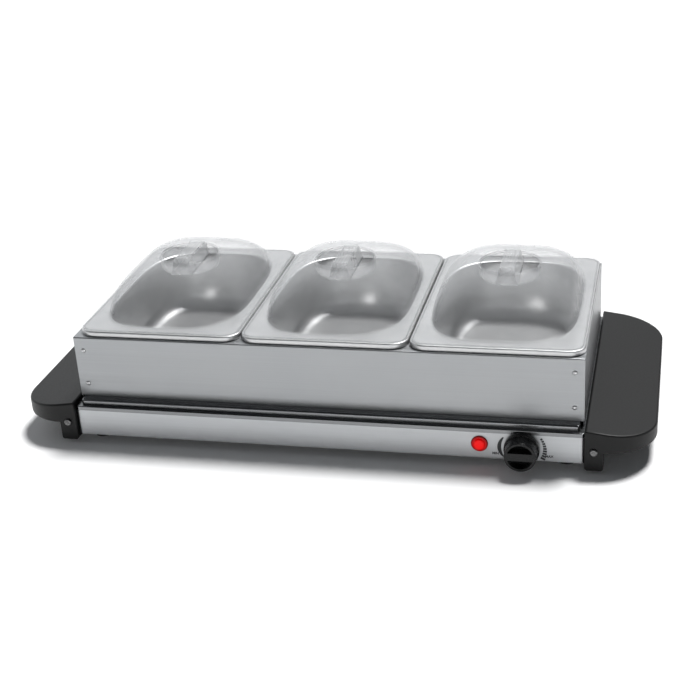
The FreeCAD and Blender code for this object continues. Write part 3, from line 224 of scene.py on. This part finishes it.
def thin_clear_plastic(name, faced=0.12, grazed=0.5):
    """A thin clear wall: a faint white haze that thickens where it is seen at a slant."""
    shader = Shader(name)
    haze = shader.noise((34.0, 34.0, 34.0), detail=3.0)
    specks = shader.noise((420.0, 420.0, 420.0), detail=2.0)
    slant = shader.add("ShaderNodeLayerWeight")
    slant.inputs["Blend"].default_value = 0.35
    shader.colour(shader.ramp(haze, (0.56, 0.57, 0.58), (0.64, 0.65, 0.66)))
    shader.roughness(shader.spread(haze, 0.24, 0.34))
    shader.normal(shader.bump(specks, 0.000006, 0.25, shader.bump(haze, 0.0004, 0.12)))
    shader.join(shader.spread(slant.outputs["Facing"], faced, grazed, 0.25, 0.95),
                shader.principled.inputs["Alpha"])
    shader.fixed(Specular_IOR_Level=0.5, IOR=1.5)
    return shader.material


def lamp_red(name, centre):
    """A red lens that glows in its middle and is deep red at its rim."""
    shader = Shader(name)
    offset = shader.add("ShaderNodeVectorMath", operation="SUBTRACT")
    shader.join(shader.place, offset.inputs[0])
    offset.inputs[1].default_value = centre
    flat = shader.add("ShaderNodeVectorMath", operation="MULTIPLY")
    shader.join(offset.outputs["Vector"], flat.inputs[0])
    flat.inputs[1].default_value = (1.0, 0.0, 1.0)
    away = shader.add("ShaderNodeVectorMath", operation="LENGTH")
    shader.join(flat.outputs["Vector"], away.inputs[0])
    prisms = shader.noise((900.0, 900.0, 900.0), detail=2.0)
    reach = away.outputs["Value"]
    shader.colour(shader.ramp(reach, (0.5, 0.002, 0.002), (0.07, 0.001, 0.001), 0.0048, 0.0072))
    shader.join(shader.ramp(reach, (0.62, 0.001, 0.001), (0.02, 0.0, 0.0), 0.003, 0.0068),
                shader.principled.inputs["Emission Color"])
    shader.roughness(shader.spread(prisms, 0.1, 0.24))
    shader.normal(shader.bump(prisms, 0.00003, 0.3))
    shader.fixed(Emission_Strength=1.0, Specular_IOR_Level=0.2)
    return shader.material


def ink(name):
    """Black print on the steel, slightly uneven."""
    shader = Shader(name)
    grain = shader.noise((2400.0, 2400.0, 2400.0), detail=3.0)
    shader.colour(shader.ramp(grain, (0.008, 0.009, 0.01), (0.022, 0.023, 0.025)))
    shader.roughness(shader.spread(grain, 0.4, 0.6))
    return shader.material


def heat_stained_steel(name):
    """The element's sheath: dark, with straw and blue heat colours."""
    shader = Shader(name)
    stains = shader.noise((55.0, 55.0, 55.0), detail=4.0, roughness=0.6)
    grain = shader.noise((1100.0, 1100.0, 1100.0))
    shader.colour(shader.ramp(stains, (0.11, 0.1, 0.12), (0.3, 0.22, 0.14), 0.35, 0.65))
    shader.roughness(shader.spread(grain, 0.35, 0.6))
    shader.normal(shader.bump(grain, 0.00001, 0.4))
    shader.fixed(Metallic=0.9)
    return shader.material


def floor_white(name):
    """The pale studio floor."""
    shader = Shader(name)
    mottle = shader.noise((2.0, 2.0, 2.0), detail=2.0)
    shader.colour(shader.ramp(mottle, (0.925, 0.925, 0.925), (0.935, 0.935, 0.935)))
    shader.fixed(Roughness=0.9, Specular_IOR_Level=0.0)
    return shader.material


LAMP_LOW, LAMP_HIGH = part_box("indicator_lens")
LAMP_CENTRE = (LAMP_LOW + LAMP_HIGH) / 2

MATERIALS = {
    "steel_panel": brushed_steel("steel_panel_look", 0.37, 0.42),
    "steel_plate": brushed_steel("steel_plate_look", 0.22, 0.26),
    "steel_pan": drawn_steel("steel_pan_look", 0.6, 0.42),
    "zinc_steel": plated_steel("zinc_steel_look", 0.5),
    "black_plastic": grained_plastic("black_plastic_look", 0.003, gloss=0.3),
    "knob_plastic": smooth_plastic("knob_plastic_look", (0.003, 0.0035, 0.004), rough=0.25, gloss=0.3),
    "clear_plastic": thin_clear_plastic("clear_plastic_look"),
    "lamp_plastic": lamp_red("lamp_plastic_look", tuple(LAMP_CENTRE)),
    "neon_glass": smooth_plastic("neon_glass_look", (0.8, 0.4, 0.26), rough=0.1, coat=0.6),
    "foot_rubber": grained_plastic("foot_rubber_look", 0.022, rough=0.7, cell=1500.0),
    "element_steel": heat_stained_steel("element_steel_look"),
    "ceramic": smooth_plastic("ceramic_look", (0.82, 0.78, 0.7), rough=0.18, coat=0.3),
    "white_plastic": grained_plastic("white_plastic_look", 0.72, rough=0.5, cell=800.0),
    "wire_cover": grained_plastic("wire_cover_look", 0.62, rough=0.6, cell=1600.0),
    "brass": plated_steel("brass_look", 0.5, warmth=0.32, rough=0.3),
}
INK = ink("dial_ink_look")
GRIP_PLASTIC = thin_clear_plastic("grip_plastic_look", faced=0.2, grazed=0.7)
SCREW_STEEL = plated_steel("screw_steel_look", 0.17, rough=0.3)
# The side panels' steel is brushed along y and painted darker than the front panel's: painted shade on the
# sides.
SIDE_STEEL_PAINTED_SHADE = brushed_steel("side_steel_painted_shade_look", 0.3, 0.36, line_axis="y")
# The apron's copy of the panel steel is painted lighter than the panels: painted light, for the bright floor
# and front light that the apron reflects.
APRON_STEEL_PAINTED_LIGHT = brushed_steel("apron_steel_painted_light_look", 0.5, 0.42)
OWN_LOOKS = {
    "handle_screws": SCREW_STEEL, "frame_left_panel": SIDE_STEEL_PAINTED_SHADE, "frame_right_panel": SIDE_STEEL_PAINTED_SHADE,
    "base_apron": APRON_STEEL_PAINTED_LIGHT,
}


# ---------------------------------------------------------------- mesh helpers

def mesh_object(name, vertices, faces, smooth=True):
    """A new object from plain vertex and face lists, with its faces turned outwards."""
    mesh = bpy.data.meshes.new(name)
    mesh.from_pydata(vertices, [], faces)
    cleaner = bmesh.new()
    cleaner.from_mesh(mesh)
    bmesh.ops.remove_doubles(cleaner, verts=cleaner.verts, dist=1e-7)
    bmesh.ops.recalc_face_normals(cleaner, faces=cleaner.faces)
    cleaner.to_mesh(mesh)
    cleaner.free()
    mesh.polygons.foreach_set("use_smooth", [smooth] * len(mesh.polygons))
    thing = bpy.data.objects.new(name, mesh)
    bpy.context.scene.collection.objects.link(thing)
    return thing


def loft(rings, cap_first=False, cap_last=False):
    """Vertices and faces of a skin through rings with equal numbers of points."""
    count = len(rings[0])
    vertices = [point for ring in rings for point in ring]
    faces = []
    for row in range(len(rings) - 1):
        for column in range(count):
            following = (column + 1) % count
            faces.append((row * count + column, row * count + following,
                          (row + 1) * count + following, (row + 1) * count + column))
    for wanted, row in ((cap_first, 0), (cap_last, len(rings) - 1)):
        if wanted:
            centre = sum((Vector(point) for point in rings[row]), Vector()) / count
            vertices.append(tuple(centre))
            for column in range(count):
                following = (column + 1) % count
                faces.append((row * count + column, row * count + following, len(vertices) - 1))
    return vertices, faces


def corner_angles(half_width, half_depth, radius, side_steps=13, corner_steps=8):
    """Directions from the middle of a rounded rectangle that sample its corners finely."""
    spots = []
    for step in range(side_steps):
        spots.append((half_width, (half_depth - radius) * step / side_steps))
    for step in range(corner_steps + 1):
        turn = math.pi / 2 * step / corner_steps
        spots.append((half_width - radius + radius * math.cos(turn),
                      half_depth - radius + radius * math.sin(turn)))
    for step in range(1, side_steps):
        spots.append(((half_width - radius) * (1 - step / side_steps), half_depth))
    quarter = [math.atan2(y, x) for x, y in spots]
    half = quarter + [math.pi / 2] + [math.pi - angle for angle in reversed(quarter[1:])]
    return half + [math.pi] + [2 * math.pi - angle for angle in reversed(half[1:])]


def superellipse_reach(angle, half_width, half_depth, power):
    """How far a superellipse reaches from its middle in one direction."""
    across = abs(math.cos(angle) / half_width) ** power
    along = abs(math.sin(angle) / half_depth) ** power
    return (across + along) ** (-1 / power)


def rounded_reach(angle, half_width, half_depth, radius):
    """How far a rounded rectangle reaches from its middle in one direction."""
    c, s = abs(math.cos(angle)), abs(math.sin(angle))
    straight = min(half_width / c if c > 1e-9 else 1e9, half_depth / s if s > 1e-9 else 1e9)
    x, y = straight * c, straight * s
    corner_x, corner_y = half_width - radius, half_depth - radius
    if x <= corner_x or y <= corner_y:
        return straight
    along = corner_x * c + corner_y * s
    return along + math.sqrt(max(0.0, along * along - corner_x ** 2 - corner_y ** 2 + radius * radius))


def arc_steps(count):
    """(1 - cos, sin) pairs over a quarter turn, both ends left in."""
    return [(1 - math.cos(math.pi / 2 * step / count), math.sin(math.pi / 2 * step / count))
            for step in range(count + 1)]


def thicken(thing, thickness):
    """Sheet material under a drawn surface."""
    solid = thing.modifiers.new("sheet", "SOLIDIFY")
    solid.thickness = thickness
    solid.offset = -1.0
    solid.use_even_offset = True


def show(thing, slot, body, *stands_for, look=None):
    """Give a piece its look (its slot's, unless another look is given) and body, and hide the CAD nodes that
    it stands for.
    """
    thing.data.materials.clear()
    thing.data.materials.append(look or MATERIALS[slot])
    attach(thing, body)
    if stands_for:
        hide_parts(*stands_for)


# ---------------------------------------------------------------- pans

MOUTH_POWER = 3.5
MOUTH_HALF_WIDTH = 66.5 * MM
MOUTH_HALF_DEPTH = 95.0 * MM
RIM_CORNER = 15.0 * MM
RIM_ROUNDED_BY = 5.0 * MM
PAN_SHEET = 0.75 * MM
PAN_FOOT = 0.8 * MM
WALL_STEPS = 6


def pan_angles(half_width, half_depth):
    return corner_angles(half_width, half_depth, RIM_CORNER)


def make_pan(side):
    """A pressed pan: rolled rim edge, flat rim, soft shoulder, bulged tapered well and round floor."""
    low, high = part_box(f"pan_{side}")
    middle = (low + high) / 2
    half_width, half_depth = (high.x - low.x) / 2, (high.y - low.y) / 2
    angles = pan_angles(half_width, half_depth)
    edge_drop, edge_round, under_round, shoulder = 5.3 * MM, 1.6 * MM, 1.1 * MM, 2.6 * MM
    floor_round, taper = 13.0 * MM, math.tan(math.radians(4.0))
    top, floor = high.z, low.z + PAN_FOOT
    wall_top, wall_foot = top - shoulder, floor + floor_round

    def rim_ring(inset, z):
        corner = RIM_CORNER - inset
        return [ring_point(angle, rounded_reach(angle, half_width - inset, half_depth - inset, corner), z)
                for angle in angles]

    def mouth_ring(inset, z):
        return [ring_point(angle, superellipse_reach(angle, MOUTH_HALF_WIDTH - inset,
                                                     MOUTH_HALF_DEPTH - inset, MOUTH_POWER), z)
                for angle in angles]

    def ring_point(angle, reach, z):
        return middle.x + reach * math.cos(angle), middle.y + reach * math.sin(angle), z

    rings = [rim_ring(under_round * (1 - b), top - edge_drop + under_round * a) for a, b in arc_steps(4)]
    rings += [rim_ring(edge_round * a, top - edge_round + edge_round * b) for a, b in arc_steps(5)]
    rings += [rim_ring(RIM_ROUNDED_BY, top)]
    rings += [mouth_ring(-shoulder * (1 - b), top - shoulder * a) for a, b in arc_steps(5)]
    depth = wall_top - wall_foot
    for step in range(1, WALL_STEPS + 1):
        down = depth * step / WALL_STEPS
        rings.append(mouth_ring(taper * down, wall_top - down))
    foot_inset = taper * depth
    rings += [mouth_ring(foot_inset + floor_round * a, wall_foot - floor_round * b)
              for a, b in arc_steps(8)[1:]]
    floor_inset = foot_inset + floor_round
    floor_half = MOUTH_HALF_WIDTH - floor_inset
    rings += [mouth_ring(floor_inset + floor_half * share, floor) for share in (0.3, 0.6, 0.85)]
    pan = mesh_object(f"pan_{side}_drawn", *loft(rings, cap_last=True))
    thicken(pan, PAN_SHEET)
    show(pan, "steel_pan", f"pan_{side}_body", f"pan_{side}")


# ---------------------------------------------------------------- lids

DOME_POWER = 2.2
DOME_STEPS = 22
FINGER_RADIUS = 27.5 * MM
FINGER_DEPTH = 12.5 * MM
FINGER_DRAFT = 0.6 * MM
FLANGE_SHEET = 2.0 * MM
DOME_SHEET = 1.8 * MM
BAR_PROUD = 2.6 * MM


def make_lid(side):
    """A clear lid: flat flange, bulged dome with a round finger recess, and a grip bar across it."""
    low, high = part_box(f"lid_{side}")
    middle = (low + high) / 2
    half_width, half_depth = (high.x - low.x) / 2, (high.y - low.y) / 2
    angles = pan_angles(half_width, half_depth)
    flange_top = low.z + FLANGE_SHEET
    rise = 36.5 * MM
    base_width, base_depth = 67.5 * MM, 96.0 * MM
    edge_round, root_round, lip_round = 0.9 * MM, 2.2 * MM, 2.2 * MM
    flange_corner = RIM_CORNER - 1.0 * MM

    def point(angle, reach, z):
        return middle.x + reach * math.cos(angle), middle.y + reach * math.sin(angle), z

    def flange_ring(inset, z):
        return [point(angle, rounded_reach(angle, half_width - inset, half_depth - inset,
                                           flange_corner - inset), z) for angle in angles]

    def dome_reach(angle, outset=0.0):
        return superellipse_reach(angle, base_width + outset, base_depth + outset, MOUTH_POWER)

    def dome_height(share):
        return rise * (1 - share ** DOME_POWER) ** (1 / DOME_POWER)

    rings = [flange_ring(0.0, low.z + 0.1 * MM)]
    rings += [flange_ring(edge_round * a, flange_top - edge_round + edge_round * b) for a, b in arc_steps(4)]
    rings += [flange_ring(4.0 * MM, flange_top)]
    for a, b in arc_steps(4):
        rings.append([point(angle, dome_reach(angle, root_round * (1 - b)), flange_top + root_round * a)
                      for angle in angles])
    recess = FINGER_RADIUS + lip_round
    for step in range(1, DOME_STEPS + 1):
        ring = []
        for angle in angles:
            reach = dome_reach(angle)
            inner = recess / reach
            turn = math.acos(inner ** (DOME_POWER / 2)) * step / DOME_STEPS
            blend = math.cos(turn) ** (2 / DOME_POWER)
            height = max(dome_height(min(1.0, blend)), root_round)
            ring.append(point(angle, reach * blend, flange_top + height))
        rings.append(ring)
    crown = flange_top + rise
    recess_floor = crown - FINGER_DEPTH
    for a, b in arc_steps(4)[1:]:
        rings.append([point(angle, FINGER_RADIUS + lip_round * (1 - b), crown - lip_round * a)
                      for angle in angles])
    floor_round = 3.0 * MM
    for a, b in arc_steps(4):
        rings.append([point(angle, FINGER_RADIUS - FINGER_DRAFT - floor_round * a,
                            recess_floor + floor_round - floor_round * b) for angle in angles])
    rings.append([point(angle, FINGER_RADIUS * 0.5, recess_floor) for angle in angles])
    shell = mesh_object(f"lid_{side}_shell", *loft(rings, cap_last=True))
    thicken(shell, DOME_SHEET)
    show(shell, "clear_plastic", f"lid_{side}_body", f"lid_{side}")
    bar = make_grip_bar(f"lid_{side}_grip", middle.x, middle.y, recess_floor, crown + BAR_PROUD)
    show(bar, "clear_plastic", f"lid_{side}_body", f"lid_{side}", look=GRIP_PLASTIC)


def make_grip_bar(name, x, y, foot, top):
    """The bar across a finger recess: flared below, rounded above, with low ridges along its top."""
    half_top, half_foot, half_length = 7.5 * MM, 10.5 * MM, 29.6 * MM
    round_top, ridge_depth, end_drop = 2.0 * MM, 0.25 * MM, 3.0 * MM
    ridges, stations, rounded_from = 4, 14, 0.86
    section = [(-half_foot, foot + 0.2 * MM), (-half_foot + 1.2 * MM, foot + 3.0 * MM)]
    section += [(-half_top - 0.4 * MM, top - 5.0 * MM)]
    section += [(-half_top + round_top * a, top - round_top + round_top * b) for a, b in arc_steps(4)]
    left_side = list(section)
    for step in range(1, ridges * 4):
        share = step / (ridges * 4)
        width = 2 * (half_top - round_top)
        dip = ridge_depth * (1 - math.cos(2 * math.pi * share * ridges)) / 2
        section.append((-half_top + round_top + width * share, top - dip))
    section += [(-u, v) for u, v in reversed(left_side)]
    rings = []
    for station in range(stations + 1):
        share = 2 * station / stations - 1
        end = max(0.0, abs(share) - rounded_from) / (1 - rounded_from)
        drop = end_drop * end ** 2
        rings.append([(x + u, y + half_length * share, v - drop * max(0.0, (v - foot) / (top - foot)))
                      for u, v in section])
    return mesh_object(name, *loft(rings, cap_first=True, cap_last=True))


# ---------------------------------------------------------------- dial print

DIAL_RADIUS = 18.6 * MM
PRINT_THICKNESS = 0.06 * MM


def arc_band(name, centre, start, end, inner, outer, y):
    """A thin printed arc on the apron; inner and outer give radii along it, from 0 to 1."""
    steps = 24
    front, back = [], []
    for step in range(steps + 1):
        share = step / steps
        angle = math.radians(start + (end - start) * share)
        for radius in (inner(share), outer(share)):
            spot = (centre.x + radius * math.cos(angle), centre.z + radius * math.sin(angle))
            front.append((spot[0], y - PRINT_THICKNESS, spot[1]))
            back.append((spot[0], y, spot[1]))
    vertices = front + back
    count = len(front)
    faces = []
    for step in range(steps):
        a, b, c, d = 2 * step, 2 * step + 1, 2 * step + 3, 2 * step + 2
        faces += [(a, b, c, d), (a + count, d + count, c + count, b + count),
                  (a, d, d + count, a + count), (b, b + count, c + count, c)]
    faces += [(0, count, count + 1, 1),
              (count - 2, count - 1, 2 * count - 1, 2 * count - 2)]
    band = mesh_object(name, vertices, faces, smooth=False)
    band.data.materials.append(INK)
    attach(band, "warming_base")


def make_dial():
    """The printed scale around the knob: a plain crescent, then blocks that grow towards hot."""
    low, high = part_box("control_knob")
    centre = (low + high) / 2
    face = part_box("base_apron")[0].y
    arc_band("dial_cool_arc", centre, 150, 212, lambda t: DIAL_RADIUS,
             lambda t: DIAL_RADIUS + (1.2 + 2.3 * math.sin(math.pi * t)) * MM, face)
    blocks, first, last, gap = 9, 32, -32, 1.6
    pitch = (last - first) / blocks
    for number in range(blocks):
        start = first + pitch * number
        thick = (2.0 + 2.8 * number / blocks) * MM
        arc_band(f"dial_hot_block_{number}", centre, start, start + pitch + gap, lambda t: DIAL_RADIUS,
                 lambda t, thick=thick: DIAL_RADIUS + thick, face)
    for word, x, z in (("MIN", centre.x - 23.7 * MM, centre.z - 7.0 * MM),
                       ("MAX", centre.x + 24.1 * MM, centre.z - 7.3 * MM)):
        print_word(f"dial_{word.lower()}", word, x, face, z)


def print_word(name, word, x, y, z):
    """A small printed word on the apron's front."""
    curve = bpy.data.curves.new(name, "FONT")
    curve.body = word
    curve.size = 3.3 * MM
    curve.align_x, curve.align_y = "CENTER", "CENTER"
    curve.extrude = PRINT_THICKNESS / 2
    curve.offset = 0.14 * MM
    text = bpy.data.objects.new(f"{name}_curve", curve)
    bpy.context.scene.collection.objects.link(text)
    text.rotation_euler = (math.pi / 2, 0, 0)
    text.location = (x, y - PRINT_THICKNESS / 2, z)
    bpy.context.view_layer.update()
    evaluated = text.evaluated_get(bpy.context.evaluated_depsgraph_get())
    mesh = bpy.data.meshes.new_from_object(evaluated)
    mesh.transform(text.matrix_world)
    label = bpy.data.objects.new(name, mesh)
    bpy.context.scene.collection.objects.link(label)
    bpy.data.objects.remove(text)
    mesh.materials.clear()
    mesh.materials.append(INK)
    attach(label, "warming_base")


# ---------------------------------------------------------------- CAD nodes that stay

EDGE_ROUNDS = {
    "warming_plate": 0.35, "base_apron": 0.3, "bottom_plate": 0.2, "left_handle": 0.8, "right_handle": 0.8,
    "frame_front_panel": 0.4, "frame_back_panel": 0.4, "frame_left_panel": 0.4, "frame_right_panel": 0.4,
    "frame_divider_left": 0.2, "frame_divider_right": 0.2, "control_knob": 0.5, "rubber_feet": 0.6,
    "terminal_block": 0.4, "thermostat": 0.5, "cord_bushing": 0.3,
}


def dress_cad_nodes():
    """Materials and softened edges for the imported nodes."""
    slots = {part["node"]: part["material_slot"] for part in frame["record"]["subparts"]}
    for node, thing in frame["nodes"].items():
        thing.data.materials.clear()
        thing.data.materials.append(OWN_LOOKS.get(node, MATERIALS[slots[node]]))
        weld = thing.modifiers.new("weld", "WELD")
        weld.merge_threshold = 0.002 * MM
        flat = thing.modifiers.new("flat_faces", "DECIMATE")
        flat.decimate_type = "DISSOLVE"
        flat.angle_limit = math.radians(0.5)
        if node in EDGE_ROUNDS:
            bevel = thing.modifiers.new("edge", "BEVEL")
            bevel.width = EDGE_ROUNDS[node] * MM
            bevel.segments = 2
            bevel.limit_method = "ANGLE"
            bevel.angle_limit = math.radians(40)
            bevel.use_clamp_overlap = True
        normals = thing.modifiers.new("normals", "WEIGHTED_NORMAL")
        normals.keep_sharp = False


# ---------------------------------------------------------------- studio

FLOOR_HALF = 12.0
FRONT_BOX = {"place": (0.3, -2.4, 0.35), "target": (0.0, 0.0, 0.06), "size": (2.4, 0.5), "power": 10.0}
BRIGHT_SIDE = (-0.8, 0.6, 0.0)
DIM_WORLD, BRIGHT_WORLD = (0.06, 0.064, 0.07, 1), (0.96, 0.98, 1.0, 1)
KEY_DIRECTION = (-0.2, -0.45, -1.0)
CAMERA_PLACE = (0.31040, -1.19286, 0.62605)
CAMERA_YAW, CAMERA_PITCH, CAMERA_ROLL = 0.25291, 0.43663, -0.06545


def make_floor():
    half = FLOOR_HALF
    corners = [(-half, -half, 0), (half, -half, 0), (half, half, 0), (-half, half, 0)]
    floor = mesh_object("studio_floor", corners, [(0, 1, 2, 3)], smooth=False)
    floor.data.materials.append(floor_white("studio_floor_look"))


def make_lamp(name, place, target, size, power):
    """A rectangular soft box that faces a point."""
    light = bpy.data.lights.new(name, "AREA")
    light.shape = "RECTANGLE"
    light.size, light.size_y = size
    light.energy = power
    lamp = bpy.data.objects.new(name, light)
    bpy.context.scene.collection.objects.link(lamp)
    lamp.location = place
    direction = Vector(target) - Vector(place)
    lamp.rotation_euler = direction.to_track_quat("-Z", "Y").to_euler()
    return lamp


def make_world():
    """A studio with a bright wall behind and to the left, and a dim front and ceiling."""
    world = bpy.data.worlds.new("studio")
    bpy.context.scene.world = world
    world.use_nodes = True
    tree = world.node_tree
    background = tree.nodes["Background"]
    coordinates = tree.nodes.new("ShaderNodeTexCoord")
    towards = tree.nodes.new("ShaderNodeVectorMath")
    towards.operation = "DOT_PRODUCT"
    towards.inputs[1].default_value = BRIGHT_SIDE
    ramp = tree.nodes.new("ShaderNodeValToRGB")
    stops = ((0.35, DIM_WORLD), (0.85, BRIGHT_WORLD))
    for element, (position, colour) in zip(ramp.color_ramp.elements, stops):
        element.position = position
        element.color = colour
    tree.links.new(coordinates.outputs["Generated"], towards.inputs[0])
    tree.links.new(towards.outputs["Value"], ramp.inputs["Fac"])
    tree.links.new(ramp.outputs["Color"], background.inputs["Color"])
    background.inputs["Strength"].default_value = 0.95


def make_sun():
    """The key light, from above and behind at the right, which throws the shadow forwards."""
    light = bpy.data.lights.new("key", "SUN")
    light.energy = 3.9
    light.angle = math.radians(15)
    lamp = bpy.data.objects.new("key", light)
    bpy.context.scene.collection.objects.link(lamp)
    lamp.rotation_euler = Vector(KEY_DIRECTION).to_track_quat("-Z", "Y").to_euler()


def make_camera():
    """A camera in front, to the right and above, turned slightly on its axis."""
    yaw, pitch, roll = CAMERA_YAW, CAMERA_PITCH, CAMERA_ROLL
    forward = Vector((-math.sin(yaw) * math.cos(pitch), math.cos(yaw) * math.cos(pitch), -math.sin(pitch)))
    level = Vector((math.cos(yaw), math.sin(yaw), 0.0))
    upright = level.cross(forward)
    right = math.cos(roll) * level + math.sin(roll) * upright
    up = math.cos(roll) * upright - math.sin(roll) * level
    data = bpy.data.cameras.new("camera")
    data.sensor_width = 36.0
    data.lens = 70.92
    data.clip_end = 60.0
    camera = bpy.data.objects.new("camera", data)
    bpy.context.scene.collection.objects.link(camera)
    turn = Matrix((right, up, -forward)).transposed().to_4x4()
    camera.matrix_world = Matrix.Translation(CAMERA_PLACE) @ turn
    bpy.context.scene.camera = camera


dress_cad_nodes()
for side in SIDES:
    make_pan(side)
    make_lid(side)
make_dial()
make_floor()
make_world()
make_sun()
make_lamp("front_box", **FRONT_BOX)
make_camera()
bpy.context.scene.view_settings.view_transform = "Standard"
